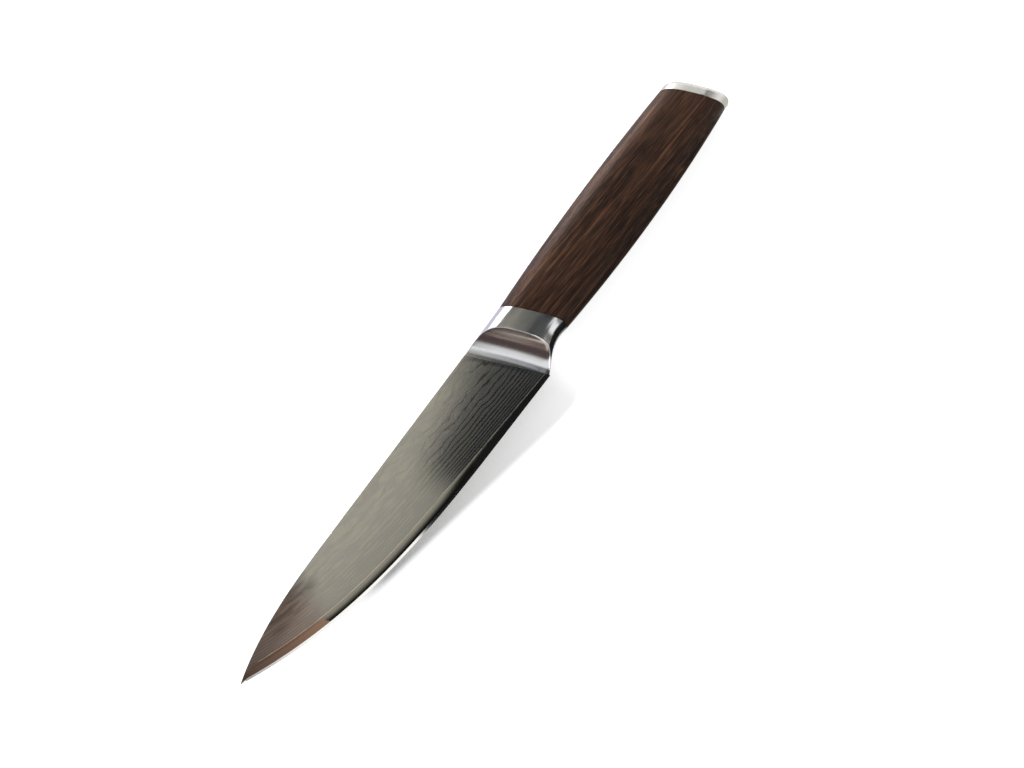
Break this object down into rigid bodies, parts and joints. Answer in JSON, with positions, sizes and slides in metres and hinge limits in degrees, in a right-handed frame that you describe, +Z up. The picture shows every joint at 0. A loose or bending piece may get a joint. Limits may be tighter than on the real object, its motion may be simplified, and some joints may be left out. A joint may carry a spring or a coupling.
{
  "type": "kitchen utility knife",
  "caption": "Kitchen utility knife lying on its side: layered steel blade, scooped steel bolster, oval wooden handle on a hidden tang and a steel end cap.",
  "frame": {"origin": "middle of the knife's footprint, on the surface that its lower flank lies on", "axes": "+X along the handle and blade to the tip, +Y from the spine to the cutting edge, +Z up, square to the blade"},
  "size_m": [0.2348, 0.0258, 0.0142],
  "materials": {
    "core_steel": "ground and honed, darker than the cladding",
    "layered_steel": "etched layered steel with wavy lines along the edge, satin",
    "bolster_steel": "satin, fine brushing",
    "tang_steel": "as rolled, hidden",
    "bond": "cured adhesive, hidden",
    "handle_wood": "dark brown hardwood, oiled satin, grain along the handle",
    "cap_steel": "satin, fine brushing"
  },
  "bodies": {
    "root": {"blade_core": "core_steel", "cladding_upper": "layered_steel", "cladding_lower": "layered_steel", "bolster": "bolster_steel", "tang": "tang_steel", "handle_bond": "bond", "handle_wood": "handle_wood", "end_cap": "cap_steel"}
  },
  "joints": []
}
